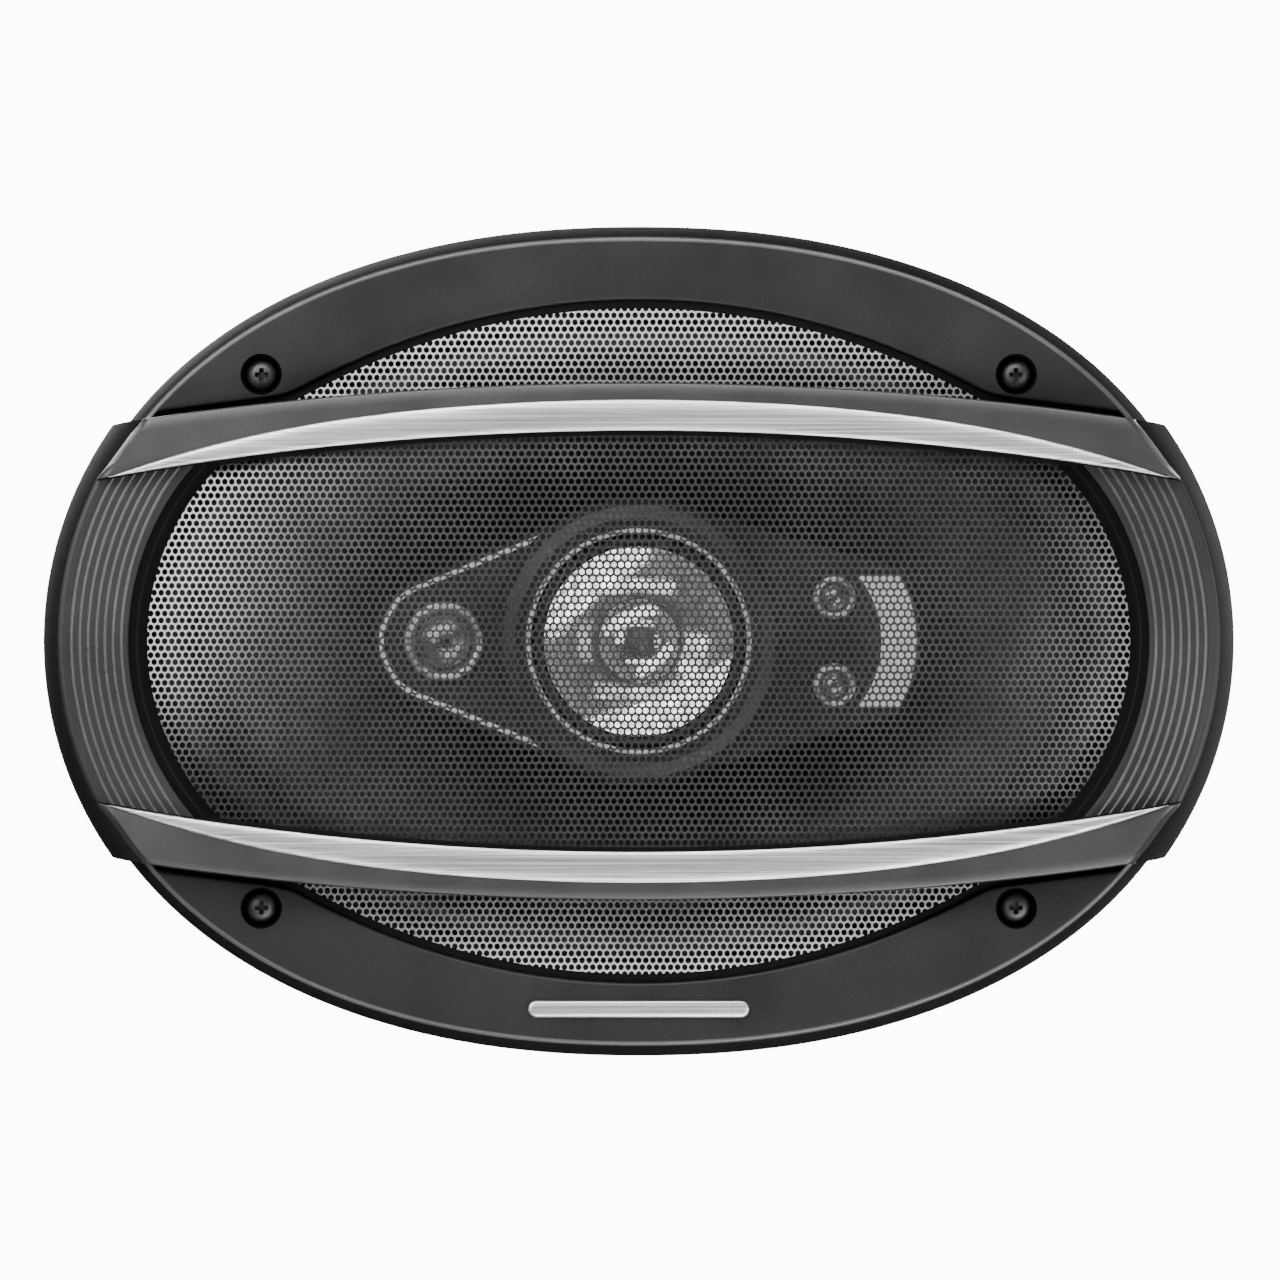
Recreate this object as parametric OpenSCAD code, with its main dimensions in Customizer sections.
// Oval coaxial car speaker with its grille.
// Speaker space: x right, y up, z towards the listener, z = 0 on the mounting plane.
// place() turns speaker space into the part's frame: the listener is on the -Y side, +Z is up.

/* [Mounting] */
// Screw spacing across the long axis
screw_dx = 155; // [153:0.5:157]
// Screw spacing across the short axis
screw_dy = 109.5; // [108:0.5:111]
// Shank radius of the mounting screws
screw_r = 2; // [1.8:0.1:2.2]
// Length of screw standing out behind the mounting plane
screw_reach = 18; // [10:1:25]
// Thickness of the rear foam gasket
gasket_t = 2; // [1:0.5:2]

/* [Grille] */
// Half length of the outer bezel
bezel_a = 119.3; // [119:0.1:120]
// Half height of the outer bezel
bezel_b = 85.4; // [85:0.1:86]
// Height of the bezel's face above the mounting plane
bezel_z = 10; // [10:0.1:10.5]
// Radius of the rounded ends of the centre frame
cap_r = 76.8; // [76:0.1:77]
// Height of the centre frame's side panels
panel_z = 14; // [13.8:0.1:14.4]
// Height of the two cross bars
bar_z = 17; // [16:0.5:18]
// Number of ribs on each side panel
rib_count = 7; // [3:1:7]
// Rise of the domed mesh above its rim
dome_rise = 8; // [6:0.5:8]

/* [Woofer] */
// Half length of the cone's edge
cone_a = 89.6; // [88:0.1:90]
// Half width of the cone's edge
cone_b = 54.6; // [53:0.1:55]
// Radius of the voice coil former
coil_r = 18; // [17.8:0.1:18.2]
// Number of basket spokes
spoke_count = 8; // [8:4:8]
// Magnet radius
magnet_r = 47.5; // [45:0.5:50]

/* [Midrange and tweeters] */
// Radius of the midrange housing
can_r = 29.6; // [29:0.1:30]
// Distance of the tweeter from the centre
tweeter_x = 40.1; // [39:0.1:41]
// Distance of the super tweeters from the centre
super_x = 40.2; // [39:0.1:41]
// Height of each super tweeter above or below the long axis
super_y = 9; // [8:0.1:10]

/* [Hidden] */
$fn = 64;

eps = 0.01;
outline_steps = 96;          // points round each oval outline
loft_steps = 72;             // points round each lofted ring
bezel_n = 2.2;               // superellipse power of the bezel, flange and gasket
wall_t = 2;                  // moulded wall of the grille
bezel_face_t = 1.4;
panel_base = bezel_z + 0.05;  // underside of the side panels
flange_t = 1.2;              // sheet steel
flange_z = gasket_t + flange_t;
flange_gap = 2.7;            // bezel outside to flange edge
screw_hole_r = screw_r + 0.4;
head_r = 3.15;
head_z = 6.2;                // underside of the screw head
well_r = 4;
boss_r = 4.9;
shank_z = -1.5;              // the thread starts behind the mounting plane
badge_y = -75.5;
badge_length = 42;           // between the centres of its round ends
badge_r = 1.7;

cap_x = 122.6 - cap_r;       // centre of each end cap's arc
crescent_r = 140.9;          // arc of the crescent openings
crescent_top = 70.2;
bar_top = 52.9;              // outer edge of a cross bar on the short axis
bar_arc = 700;
opening_top = 43.1;          // edge of the main opening on the short axis
opening_arc = 616;
opening_x = 49.6;            // centre of the main opening's side arcs
opening_r = 55;
trim_top = 49.4;             // outer edge of a silver trim on the short axis
trim_c2 = 0.000978;          // trim edge: y = trim_top - c2 x^2 - c4 x^4
trim_c4 = 3.19e-8;
trim_end = 110.2;
rib_first = 116.2;           // outermost rib on the long axis
rib_pitch = 1.7;
rib_half_angle = 24;
mesh_t = 0.8;
mesh_rim_z = 7.5;
mesh_a = 106;                // half axes of the dome's base ellipse
mesh_b = 74;
mesh_lap = 1.5;              // how far the mesh runs under the bezel

hole_a = 101;                // half axes of the flange opening
hole_b = 66;
wall_a = 104.5;              // basket wall at the flange
wall_b = 69.5;
clamp_w = 4.8;               // width of the ring that clamps the surround's flange
wall_r = 53;                 // basket wall at the spider shelf
rim_z = -7;                  // lower edge of the cup's rim
spoke_w = 13;
shelf_z = -42;
cup_r = 46.7;                // rear cup of the basket
cup_floor_z = -49.8;
plate_front_z = -51;
plate_back_z = -57;
magnet_back_z = -73;
yoke_back_z = -80;
plate_r = 44;
pole_r = 17.4;
gap_r = 19.7;
pole_z = -50.6;
post_r = 8;
tail_r = 5;
cone_edge_z = 1.2;           // back of the cone at its edge
cone_neck_z = -34;
cone_lift = 1.2;             // cone wall measured along z
neck_r = coil_r + 0.35;

can_floor_z = -9;
pod_z = 7;                   // front of the pods
pod_back_z = -3;
pod_wall = 1.6;
pod_root_r = can_r - 0.6;    // the pods' outlines run into the can's wall
pod_left_r = 13.4;
pod_left_x = -41;
pod_right_y = 15;
pod_right_arc = 28;
pod_right_x = 29.9;          // centre of the right pod's end arc
board_y = -61.5;             // middle of the terminal board
tab_x = 13;
bracket_w = 18;              // basket bracket under the terminal board

// Routes of the leads, in speaker space
tinsel_route = [[9, -60, -36], [9.5, -57, -32], [10, -52, -29.5], [10.5, -46, -30], [10.5, -40, -31],
    [10, -34, -29.5], [9.5, -29, -26.5], [9, -26, -25.6]];
hf_route = [[3, -61.5, -57], [3, -60.5, -61], [2.6, -56.5, -65], [2.4, -52, -69], [2.2, -50, -74],
    [2, -48, -79], [1.8, -44, -81.3], [1.5, -36, -81.3], [1.3, -26, -81.3], [1.2, -16, -81.3],
    [1.1, -8, -81.8], [1.05, -3, -82], [1, -0.6, -80.6], [1, 0, -77], [1, 0, -70]];

function lerp(a, b, t) = a + (b - a) * t;
// A point on a superellipse
function oval_point(a, b, n, t) =
    [a * sign(cos(t)) * pow(abs(cos(t)), 2 / n), b * sign(sin(t)) * pow(abs(sin(t)), 2 / n)];
function oval(a, b, n) =
    [for (i = [0:outline_steps - 1]) oval_point(a, b, n, 360 * i / outline_steps)];
// An arc of a circle as points
function arc(cx, cy, r, from, to, steps) =
    [for (i = [0:steps]) [cx + r * cos(lerp(from, to, i / steps)), cy + r * sin(lerp(from, to, i / steps))]];
// A level ellipse of points at height z
function level(a, b, z) =
    [for (i = [0:loft_steps - 1]) [a * cos(360 * i / loft_steps), b * sin(360 * i / loft_steps), z]];

module place() rotate([90, 0, 0]) children();

module slab(z0, z1) translate([0, 0, z0]) linear_extrude(z1 - z0) children();

// Skin over rings with equal numbers of points: capped, or closed into a loop.
// Seen from +z, each ring runs anticlockwise and the outer side runs from the top ring down.
module skin(rings, loop = false) {
    k = len(rings[0]);
    m = len(rings);
    sides = [for (i = [0:(loop ? m - 1 : m - 2)]) for (j = [0:k - 1]) for (h = [0, 1])
        let (a = i * k + j, b = i * k + (j + 1) % k,
             c = ((i + 1) % m) * k + (j + 1) % k, d = ((i + 1) % m) * k + j)
        h == 0 ? [a, b, c] : [a, c, d]];
    caps = loop ? [] : [[for (j = [k - 1:-1:0]) j], [for (j = [0:k - 1]) (m - 1) * k + j]];
    polyhedron([for (r = rings) each r], concat(sides, caps), convexity = 8);
}

// Round lead along hand-set points, smoothed through them
function route_at(p, u) =
    let (n = len(p) - 1, i = min(floor(u * n), n - 1), t = u * n - i,
         p0 = p[max(i - 1, 0)], p1 = p[i], p2 = p[i + 1], p3 = p[min(i + 2, n)])
    0.5 * (2 * p1 + (p2 - p0) * t + (2 * p0 - 5 * p1 + 4 * p2 - p3) * t * t
        + (3 * p1 - p0 - 3 * p2 + p3) * t * t * t);
module lead(route, r, steps) {
    sides = 8;
    rings = [for (i = [0:steps])
        let (u = i / steps, a = route_at(route, max(u - 0.005, 0)), b = route_at(route, min(u + 0.005, 1)),
             d = (b - a) / norm(b - a), s = cross(d, [1, 0, 0]) / norm(cross(d, [1, 0, 0])), w = cross(s, d),
             c = route_at(route, u))
        [for (j = [0:sides - 1]) c + r * (s * cos(360 * j / sides) + w * sin(360 * j / sides))]];
    skin(rings);
}

module each_screw() for (x = [-1, 1], y = [-1, 1]) translate([x * screw_dx / 2, y * screw_dy / 2, 0]) children();

// ---- Grille ----
module crescent_lens(grow = 0) intersection_for (s = [-1, 1])
    translate([0, s * (crescent_r - crescent_top)]) circle(crescent_r + grow, $fn = 240);

module outer_bezel() color("#3b3c3e") place() difference() {
    union() {
        slab(0.3, bezel_z) difference() {
            polygon(oval(bezel_a, bezel_b, bezel_n));
            polygon(oval(bezel_a - wall_t, bezel_b - wall_t, bezel_n));
        }
        slab(bezel_z - bezel_face_t, bezel_z) difference() {
            polygon(oval(bezel_a - 1, bezel_b - 1, bezel_n));
            intersection() {
                crescent_lens();
                polygon(oval(mesh_a + 1, mesh_b + 6, bezel_n));
            }
        }
        each_screw() slab(flange_z + 0.1, bezel_z - eps) circle(boss_r);
    }
    each_screw() {
        slab(0, bezel_z) circle(screw_hole_r);
        slab(head_z, bezel_z + 1) circle(well_r);
    }
}

// Area inside both long edges and both end caps of the centre frame
module frame_area(grow = 0) intersection() {
    union() {
        for (s = [-1, 1]) translate([s * cap_x, 0]) circle(cap_r + grow, $fn = 160);
        square([2 * cap_x, 4 * bar_top], center = true);
    }
    for_bars(bar_top, bar_arc);
}
// Area between two mirrored long arcs that cross the short axis at +top and -top
module for_bars(top, r) intersection_for (s = [-1, 1]) translate([0, s * (r - top)]) circle(r, $fn = 720);

module main_opening() intersection() {
    for_bars(opening_top, opening_arc);
    union() {
        for (s = [-1, 1]) translate([s * opening_x, 0]) circle(opening_r, $fn = 120);
        square([2 * opening_x, 2 * opening_r], center = true);
    }
}

// Crescent between the trim's outer curve and the main opening's long edge, above the long axis
function trim_y(x) = trim_top - trim_c2 * x * x - trim_c4 * pow(x, 4);
module trim_area() difference() {
    polygon(concat([for (i = [-20:20]) let (x = trim_end * i / 20) [x, trim_y(x)]],
        [[trim_end, 10], [-trim_end, 10]]));
    translate([0, opening_top - opening_arc]) circle(opening_arc, $fn = 720);
}

module centre_frame() color("#3b3c3e") place() {
    // Skirts outside the bezel at both ends
    slab(0.3, panel_base) difference() {
        frame_area();
        polygon(oval(bezel_a + 0.3, bezel_b + 0.3, bezel_n));
    }
    // Side panels on the bezel's face
    slab(panel_base, panel_z) difference() {
        frame_area();
        square([2 * (opening_x + opening_r - 13), 4 * bar_top], center = true);
        main_opening();
    }
    // Cross bars over the mesh
    slab(panel_z, bar_z) difference() {
        intersection() {
            frame_area();
            polygon([[-99.6, 60], [99.6, 60], [110.5, 32.7], [110.5, -32.7], [99.6, -60],
                [-99.6, -60], [-110.5, -32.7], [-110.5, 32.7]]);
        }
        main_opening();
        square([230, 65], center = true);
    }
    // Ribs, concentric with the end caps
    for (s = [0, 180], i = [0:rib_count - 1])
        rotate([0, 0, s]) translate([cap_x, 0, panel_z])
            rotate([0, 0, -rib_half_angle]) rotate_extrude(angle = 2 * rib_half_angle)
                translate([rib_first - i * rib_pitch - cap_x - 0.45, 0]) square([0.9, 0.6]);
}

module silver_trim() color("#c8cacb") place() slab(bar_z + 0.02, bar_z + 0.6) trim_area();
module upper_trim() silver_trim();
module lower_trim() rotate([0, 180, 0]) silver_trim();

// Height of the domed mesh's outer face
function dome_z(x, y) =
    mesh_rim_z + dome_rise * (1 - pow(min(1, sqrt(pow(x / mesh_a, 2) + pow(y / mesh_b, 2))), 2.6));
// Distance from the centre to the mesh's edge in direction t
function circle_reach(c, s, cx, cy, r) =
    let (d = c * cx + s * cy) d + sqrt(d * d - cx * cx - cy * cy + r * r);
function mesh_reach(t) =
    let (c = abs(cos(t)), s = abs(sin(t)),
         to_lens = circle_reach(c, s, 0, crescent_top - crescent_r, crescent_r + mesh_lap))
    to_lens * c < opening_x ? to_lens
        : min(to_lens, circle_reach(c, s, opening_x, 0, opening_r + mesh_lap));
function mesh_ring(f, drop) =
    [for (i = [0:loft_steps - 1])
        let (t = 360 * i / loft_steps, r = f * mesh_reach(t), x = r * cos(t), y = r * sin(t))
        [x, y, dome_z(x, y) - drop]];
module grille_mesh() color("#26272a") place() {
    fractions = [0.02, 0.2, 0.4, 0.58, 0.74, 0.87, 1];
    steps = len(fractions) - 1;
    skin(concat([for (i = [0:steps]) mesh_ring(fractions[i], 0)],
        [for (i = [steps:-1:0]) mesh_ring(fractions[i], mesh_t)]));
}

// Plain bar with round ends on the bezel's lower face
module badge_bar() color("#c8cacb") place() slab(bezel_z + 0.02, bezel_z + 0.9) translate([0, badge_y]) {
    square([badge_length, 2 * badge_r], center = true);
    for (s = [-1, 1]) translate([s * badge_length / 2, 0]) circle(badge_r);
}

module mounting_screws() color("#1c1c1e") place() each_screw() difference() {
    rotate_extrude() polygon(concat(
        [[0, -screw_reach], [0.4, -screw_reach], [screw_r, -screw_reach + 4], [screw_r, shank_z],
         [screw_r - 0.25, shank_z], [screw_r - 0.25, head_z], [head_r, head_z]],
        arc(head_r - 1.6, head_z + 0.8, 1.6, 0, 90, 6), [[0, head_z + 2.4]]));
    for (a = [0, 90]) rotate([0, 0, a]) translate([-2, -0.45, head_z + 0.9]) cube([4, 0.9, 3]);
}

// ---- Frame of the speaker ----
module rear_gasket() color("#222224") place() slab(0, gasket_t) difference() {
    polygon(oval(bezel_a - flange_gap - 0.6, bezel_b - flange_gap - 0.6, bezel_n));
    polygon(oval(wall_a + 2.1, wall_b + 2.1, 2));
    for (x = [-1, 1], y = [-1, 1]) translate([x * screw_dx / 2, y * screw_dy / 2]) circle(screw_hole_r);
}

// A pressed spoke from the rim down to the spider shelf, with its two edges turned outwards
module spoke(phi) {
    start = [(wall_a - 0.7) * cos(phi), (wall_b - 0.7) * sin(phi), rim_z + 4];
    along = [(wall_r - 2) * cos(phi), (wall_r - 2) * sin(phi), shelf_z - flange_t / 2] - start;
    length = norm(along);
    translate(start) rotate([0, asin(-along.z / length), atan2(along.y, along.x)]) {
        translate([0, -spoke_w / 2, -0.7]) cube([length, spoke_w, 1.4]);
        for (s = [-1, 1]) translate([0, s * (spoke_w / 2 - 0.6) - 0.6, -3]) cube([length, 1.2, 3.2]);
    }
}
module basket() color("#2a2a2c") place() {
    difference() {
        slab(gasket_t, flange_z) difference() {
            polygon(oval(bezel_a - flange_gap, bezel_b - flange_gap, bezel_n));
            polygon(oval(hole_a, hole_b, 2));
        }
        each_screw() slab(0, flange_z + 1) circle(screw_hole_r);
    }
    // Upper rim of the cup
    slab(rim_z, gasket_t + flange_t / 2) difference() {
        polygon(oval(wall_a, wall_b, 2));
        polygon(oval(wall_a - 1.4, wall_b - 1.4, 2));
    }
    for (i = [0:spoke_count - 1]) spoke((i + 0.5) * 360 / spoke_count);
    // Spider shelf, rear cup and rear plate
    difference() {
        rotate_extrude() polygon([[cup_r - 1.2, shelf_z], [wall_r + 2, shelf_z], [wall_r + 2, shelf_z - flange_t],
            [cup_r, shelf_z - flange_t], [cup_r, plate_front_z], [22, plate_front_z],
            [22, cup_floor_z], [cup_r - 1.2, cup_floor_z]]);
        each_rivet() cylinder(r = 2.5, h = 10, center = true);
    }
    // Bracket for the terminal board
    difference() {
        union() {
            translate([-bracket_w / 2, board_y + 1, shelf_z - flange_t]) cube([bracket_w, 12, flange_t]);
            translate([-bracket_w / 2, board_y + 1, shelf_z - 10]) cube([bracket_w, flange_t, 10]);
        }
        each_board_rivet() cylinder(r = 1.6, h = 12, center = true);
    }
}
module each_rivet() for (a = [0:90:270]) rotate([0, 0, a + 45]) translate([33, 0, plate_front_z]) children();
module each_board_rivet() for (s = [-1, 1])
    translate([s * 5.2, board_y, shelf_z - 6]) rotate([90, 0, 0]) children();

module clamp_ring() color("#1d1d1f") place() slab(flange_z + 0.75, head_z) difference() {
    polygon(oval(hole_a + clamp_w, hole_b + clamp_w, 2));
    polygon(oval(hole_a + 0.2, hole_b + 0.2, 2));
}

// ---- Woofer ----
// A ring on the cone: t = 0 at the neck, 1 at the edge
function cone_ring(t, lift) =
    level(lerp(neck_r, cone_a, t), lerp(neck_r, cone_b, t),
        lerp(cone_neck_z, cone_edge_z, t * (1.25 - 0.25 * t)) + lift);
module cone() color("#242528") place() skin(
    [for (i = [0:7]) cone_ring(i / 7, cone_lift), for (i = [7:-1:0]) cone_ring(i / 7, 0)], loop = true);

module surround() color("#161617") place() {
    steps = 8;
    roll = hole_a - cone_a - 0.4;
    under = [for (i = [0:steps]) let (w = i / steps)
        level(hole_a - roll * w, hole_b - roll * w, lerp(flange_z + 0.02, 2.7, w) + 3.2 * sin(180 * w))];
    over = [for (i = [steps:-1:0]) let (w = i / steps)
        level(hole_a - roll * w, hole_b - roll * w, lerp(flange_z + 0.7, 3.4, w) + 3.6 * sin(180 * w))];
    flange_w = clamp_w - 0.2;
    skin(concat([level(hole_a + flange_w, hole_b + flange_w, flange_z + 0.02)], under,
        [cone_ring(0.99, cone_lift + 0.2), cone_ring(0.95, cone_lift + 0.2),
         cone_ring(0.95, cone_lift + 0.85), cone_ring(0.99, cone_lift + 0.85)],
        over, [level(hole_a + flange_w, hole_b + flange_w, flange_z + 0.7)]), loop = true);
}

module dust_screen() color("#303134") place() rotate_extrude() polygon([[post_r + 0.7, cone_neck_z + 2.4],
    [coil_r - 0.1, cone_neck_z + 0.4], [coil_r - 0.1, cone_neck_z + 1], [post_r + 0.7, cone_neck_z + 3]]);
module coil_former() color("#b08a4a") place() translate([0, 0, -62]) difference() {
    cylinder(r = coil_r + 0.3, h = cone_neck_z + 62 + 1.6, $fn = 96);
    translate([0, 0, -1]) cylinder(r = coil_r, h = 40, $fn = 96);
}
module voice_coil() color("#b5652b") place() translate([0, 0, -60]) difference() {
    cylinder(r = coil_r + 1.1, h = 12, $fn = 96);
    translate([0, 0, -1]) cylinder(r = coil_r + 0.32, h = 14, $fn = 96);
}

// Corrugated disc from the former to the shelf
spider_in = coil_r + 0.6;
spider_out = 45;
spider_rim = 47.6;           // glued to the shelf inside the spokes' feet
function spider_z(r) = shelf_z + 0.4
    + 1.5 * sin(360 * 4.5 * (r - spider_in - 2) / (spider_out - spider_in - 2)) * (r > spider_in + 2 ? 1 : 0);
module spider() color("#c9a24a") place() {
    steps = 54;
    radii = [for (i = [0:steps]) lerp(spider_in + 2, spider_out, i / steps)];
    rotate_extrude() polygon(concat(
        [[spider_in, shelf_z + 0.1]], [for (r = radii) [r, spider_z(r) - 0.3]], [[spider_rim, shelf_z + 0.1]],
        [[spider_rim, shelf_z + 0.7]], [for (i = [steps:-1:0]) [radii[i], spider_z(radii[i]) + 0.3]],
        [[spider_in + 1, shelf_z + 1.6], [spider_in, shelf_z + 1.6]]));
}

// ---- Motor ----
module top_plate() color("#8d9095") place() difference() {
    rotate_extrude() polygon([[gap_r, plate_back_z], [plate_r, plate_back_z],
        [plate_r, plate_front_z - 0.8], [plate_r - 0.8, plate_front_z], [gap_r, plate_front_z]]);
    each_rivet() cylinder(r = 2.5, h = 14, center = true);
}
module magnet() color("#2b2b2d") place() rotate_extrude() polygon([[26, magnet_back_z], [magnet_r - 1.2, magnet_back_z],
    [magnet_r, magnet_back_z + 1.2], [magnet_r, plate_back_z - 1.2], [magnet_r - 1.2, plate_back_z], [26, plate_back_z]]);
module yoke() color("#8d9095") place() rotate_extrude() polygon([[tail_r + 0.1, yoke_back_z + 3.6],
    [11.2, yoke_back_z + 3.6], [11.2, yoke_back_z], [plate_r - 1.5, yoke_back_z], [plate_r, yoke_back_z + 1.5],
    [plate_r, magnet_back_z], [pole_r + 3, magnet_back_z], [pole_r, magnet_back_z + 2], [pole_r, pole_z],
    [tail_r + 0.1, pole_z]]);
module basket_rivets() color("#a7a9ac") place() each_rivet() {
    translate([0, 0, -6]) cylinder(r = 2.45, h = 7.2);
    rotate_extrude() polygon(concat([[0, 1.2], [4, 1.2]], arc(1.6, 1.2, 2.4, 0, 0, 1), [[2.6, 2.4], [0, 2.7]]));
}

module centre_post() color("#1f2022") place() rotate_extrude() polygon([[2.8, yoke_back_z + 0.4],
    [tail_r, yoke_back_z + 0.4], [tail_r, pole_z], [post_r, pole_z], [post_r, can_floor_z],
    [tail_r, can_floor_z], [tail_r, can_floor_z + 2], [2.8, can_floor_z + 2]]);
module post_nut() color("#a7a9ac") place() translate([0, 0, yoke_back_z]) difference() {
    cylinder(r = 9.8, h = 3.6, $fn = 6);
    translate([0, 0, -1]) cylinder(r = tail_r + 0.05, h = 6);
}

// ---- Midrange and tweeter pods ----
// Outline of two circles on the x axis joined by their outer tangents
function teardrop(x0, r0, x1, r1) =
    let (a = acos((r0 - r1) / abs(x1 - x0)), side = x1 < x0 ? 180 : 0)
    concat(arc(x0, 0, r0, side + a, side + 360 - a, 40), arc(x1, 0, r1, side - a, side + a, 28));
function left_outline(inset) = teardrop(0, pod_root_r - inset, pod_left_x, pod_left_r - inset);
// Outline of the can joined to the curved end of the right pod
function right_outline(inset) =
    let (end = pod_right_arc - inset, y = pod_right_y - inset, x = pod_right_x + sqrt(end * end - y * y),
         r = pod_root_r - inset, a = atan2(y, x) + acos(r / norm([x, y])), e = asin(y / end))
    concat(arc(0, 0, r, a, 360 - a, 40), arc(pod_right_x, 0, end, -e, e, 16));

module pod_housing() color("#26272a") place() difference() {
    union() {
        rotate_extrude() polygon(concat([[0, can_floor_z], [20, can_floor_z]],
            arc(can_r - 9, can_floor_z + 9, 9, -80, 0, 8),
            [[can_r, 7.6], [can_r - 1.6, 9.2], [25.4, 10.2], [0, 10.2]]));
        slab(pod_back_z, pod_z) polygon(left_outline(0));
        slab(pod_back_z, pod_z) polygon(right_outline(0));
    }
    // Room for the midrange driver, and the hole for the post
    rotate_extrude() polygon([[0, can_floor_z + 2], [14, can_floor_z + 2], [24.2, 2], [24.2, 11], [0, 11]]);
    translate([0, 0, can_floor_z - 1]) cylinder(r = tail_r + 0.05, h = 5);
    // Hollow pods, open at the back
    slab(pod_back_z - 1, pod_z - pod_wall) difference() {
        union() {
            polygon(left_outline(pod_wall));
            polygon(right_outline(pod_wall));
        }
        circle(can_r - 1.2);
    }
    translate([-tweeter_x, 0, 0]) cylinder(r = 7, h = 20);
    each_super() cylinder(r = 3.5, h = 20);
}
module each_super() for (s = [-1, 1]) translate([super_x, s * super_y, 0]) children();

module pod_cover(points) color("#1c1d1f") place() slab(pod_back_z - 1.4, pod_back_z - 0.02) difference() {
    polygon(points);
    circle(can_r + 0.2);
}
module left_pod_cover() pod_cover(left_outline(0.4));
module right_pod_cover() pod_cover(right_outline(0.4));

module pod_trim_line() color("#c8cacb") place() slab(pod_z + 0.02, pod_z + 0.5) difference() {
    polygon(left_outline(1));
    polygon(left_outline(2));
    circle(can_r + 0.4);
    translate([0, -can_r - 1]) square([60, 2 * can_r + 2]);
}
module pod_strip() color("#c8cacb") place() slab(pod_z + 0.02, pod_z + 0.6) intersection() {
    difference() {
        translate([pod_right_x, 0]) circle(pod_right_arc - 0.8, $fn = 120);
        translate([pod_right_x - 1, 0]) circle(21, $fn = 120);
    }
    translate([40, -13.6]) square([30, 27.2]);
}

// ---- Midrange driver ----
module ring_part(points) place() rotate_extrude() polygon(points);
module midrange_ring() color("#c8cacb") ring_part([[22.1, 8.2], [24.1, 8.2], [24.1, 10.4], [23.2, 10.9], [22.2, 10.2]]);
module midrange_surround() color("#161617") ring_part(concat([[23.4, 7.5]], arc(20.9, 7.6, 0.7, 0, 180, 8),
    [[19.6, 7.6], [19.6, 8.1]], arc(20.9, 7.8, 1, 165, 15, 8), [[23.4, 8.1]]));
module midrange_cone() color("#b9bcc0") ring_part(concat([[7.6, 2.6]], [for (i = [1:6]) let (t = i / 6)
    [lerp(7.6, 19.5, t), lerp(2.6, 7.4, pow(t, 1.4))]], [for (i = [6:-1:0]) let (t = i / 6)
    [lerp(7.6, 19.5, t), lerp(2.6, 7.4, pow(t, 1.4)) + 0.5]]));
module midrange_dust_cap() color("#d5d7d9") ring_part(concat([[0, 6.6]], [for (i = [1:6]) let (t = i / 6)
    [8.6 * t, lerp(6.6, 3.5, t * t)]], [for (i = [6:-1:0]) let (t = i / 6) [8.6 * t, lerp(7.1, 4, t * t)]]));
module midrange_coil() color("#b5652b") ring_part([[6.85, -2.3], [7.45, -2.3], [7.45, 3.1], [6.85, 3.1]]);
module midrange_magnet() color("#9a9da2") place() translate([0, 0, -3.4]) cylinder(r = 6.1, h = 2.6);
module midrange_pole_plate() color("#8d9095") place() translate([0, 0, -0.8]) cylinder(r = 6.3, h = 1.8);
module midrange_cup() color("#8d9095") ring_part([[0, -5.4], [10.6, -5.4], [10.6, 1], [8, 1], [8, -3.4], [0, -3.4]]);

// ---- Tweeters ----
// A shallow dome with an open rim, centred on the z axis
function dome_profile(r, base, rise, t) = concat(
    [for (i = [0:6]) [r * i / 6, base + rise * (1 - pow(i / 6, 2))]],
    [for (i = [6:-1:0]) [(r - t) * i / 6, base + (rise - t) * (1 - pow(i / 6, 2))]]);
module tweeter_ring() color("#8d9095") place() translate([-tweeter_x, 0, 0]) rotate_extrude()
    polygon([[6, pod_z + 0.02], [8.2, pod_z + 0.02], [8.2, 8], [7.4, 8.7], [6.6, 8.2], [6, 7.4]]);
module tweeter_dome() color("#c9ccd0") place() translate([-tweeter_x, 0, 0]) rotate_extrude()
    polygon(dome_profile(5.5, 6.9, 2.5, 0.4));
module tweeter_motor() color("#8d9095") place() translate([-tweeter_x, 0, -1.4]) cylinder(r = 6.6, h = 7.2);
module super_tweeter_rings() color("#8d9095") place() each_super() rotate_extrude()
    polygon([[3, pod_z + 0.02], [4.5, pod_z + 0.02], [4.3, 7.9], [3.5, 8.1], [3, 7.5]]);
module super_tweeter_motors() color("#8d9095") place() each_super() translate([0, 0, -1.4]) cylinder(r = 3.3, h = 7.4);
module super_dome(s) color("#c9ccd0") place() translate([super_x, s * super_y, 0]) rotate_extrude()
    polygon(dome_profile(2.6, 6.9, 1.3, 0.4));
module upper_super_tweeter_dome() super_dome(1);
module lower_super_tweeter_dome() super_dome(-1);

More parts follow.
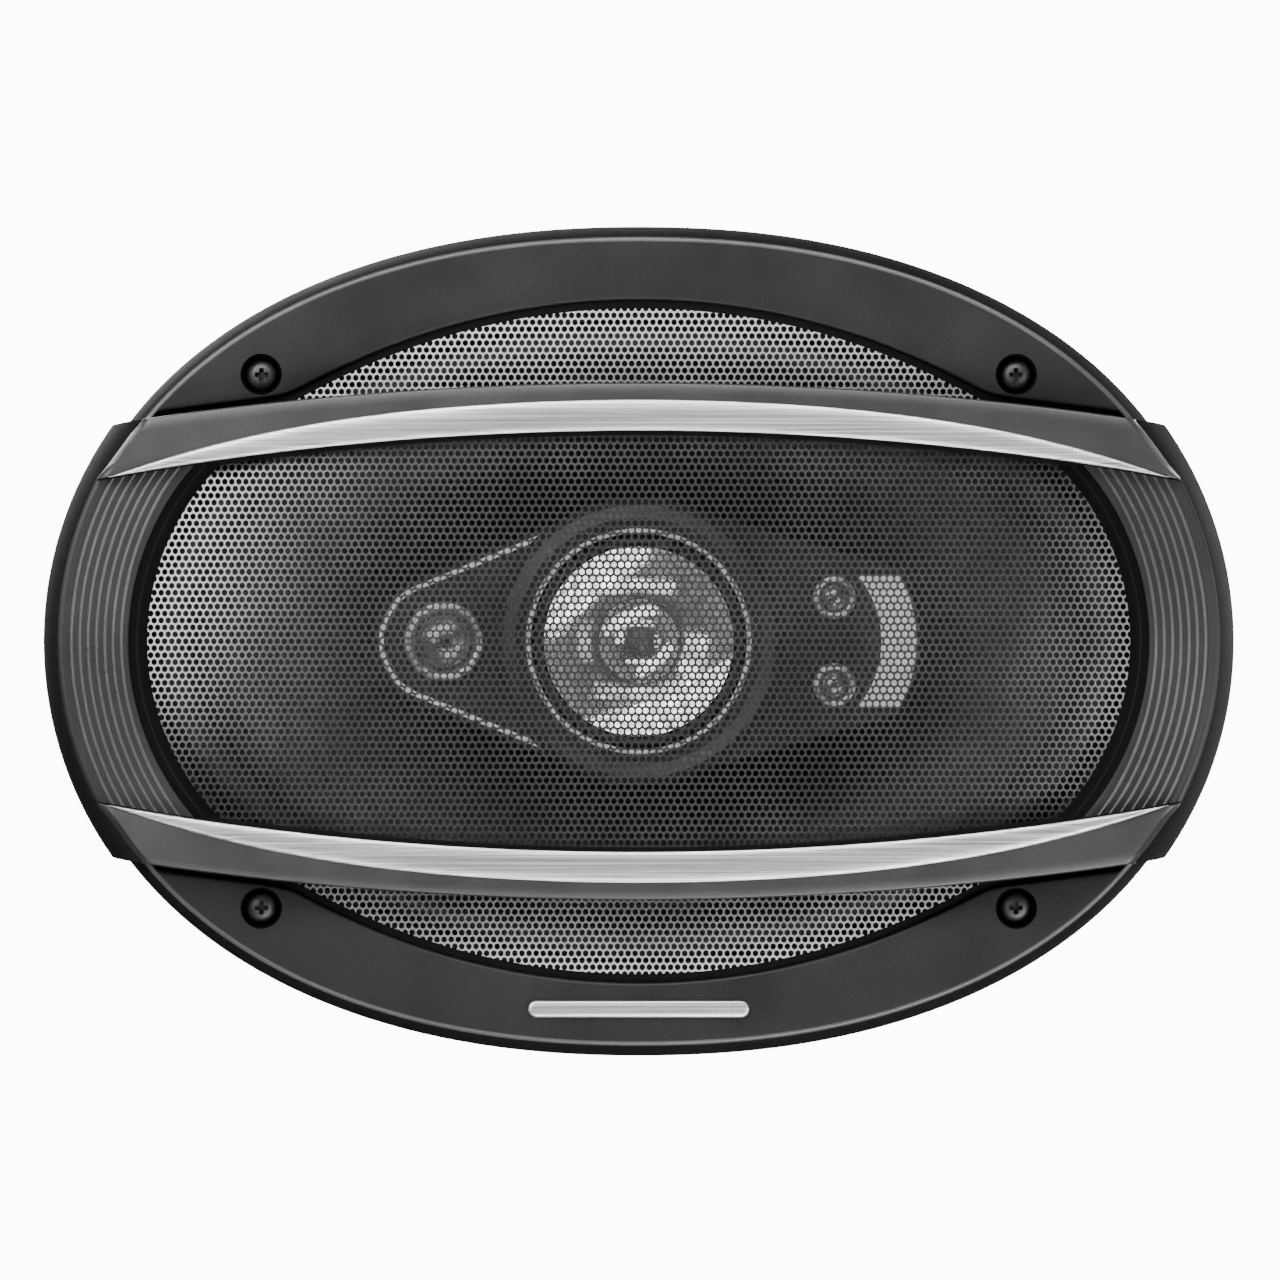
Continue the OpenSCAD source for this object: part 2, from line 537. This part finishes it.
// ---- Terminals and leads ----
module terminal_board() color("#7a5a32") place() difference() {
    translate([-20, board_y - 1, shelf_z - 14]) cube([40, 1.95, 22]);
    each_board_rivet() cylinder(r = 1.6, h = 12, center = true);
}
module terminal_rivets() color("#a7a9ac") place() each_board_rivet() {
    translate([0, 0, -2.3]) cylinder(r = 1.5, h = 3.4);
    translate([0, 0, 1.02]) cylinder(r = 2.8, h = 0.8);
    translate([0, 0, -3.1]) cylinder(r = 2.6, h = 0.8);
}
// A spade blade with its riveted foot on the board
module spade(x, width) color("#c4a45a") place() translate([x, board_y - 1.03, shelf_z]) {
    translate([-width / 2, -0.8, -24]) cube([width, 0.8, 19]);
    translate([0, 0, -8]) rotate([90, 0, 0]) cylinder(r = 1.6, h = 1.6);
}
module positive_tab() spade(-tab_x, 6.3);
module negative_tab() spade(tab_x, 4.8);
module tinsel() color("#b87a45") place() lead(tinsel_route, 0.7, 30);
module positive_tinsel() mirror([1, 0, 0]) tinsel();
module negative_tinsel() tinsel();
module capacitor(x, length) color("#30343c") place() translate([x, board_y - 5.1, shelf_z + 3])
    rotate([0, 90, 0]) cylinder(r = 4, h = length);
module midrange_capacitor() capacitor(-16, 15);
module tweeter_capacitor() capacitor(2, 12);
module positive_hf_lead() color("#8c2f2a") place() mirror([1, 0, 0]) lead(hf_route, 0.9, 64);
module negative_hf_lead() color("#1d1d1f") place() lead(hf_route, 0.9, 64);

outer_bezel();
centre_frame();
upper_trim();
lower_trim();
grille_mesh();
badge_bar();
mounting_screws();
rear_gasket();
basket();
clamp_ring();
surround();
cone();
dust_screen();
coil_former();
voice_coil();
spider();
top_plate();
magnet();
yoke();
basket_rivets();
centre_post();
post_nut();
pod_housing();
left_pod_cover();
right_pod_cover();
pod_trim_line();
pod_strip();
midrange_ring();
midrange_surround();
midrange_cone();
midrange_dust_cap();
midrange_coil();
midrange_magnet();
midrange_pole_plate();
midrange_cup();
tweeter_ring();
tweeter_dome();
tweeter_motor();
super_tweeter_rings();
super_tweeter_motors();
upper_super_tweeter_dome();
lower_super_tweeter_dome();
terminal_board();
terminal_rivets();
positive_tab();
negative_tab();
positive_tinsel();
negative_tinsel();
midrange_capacitor();
tweeter_capacitor();
positive_hf_lead();
negative_hf_lead();
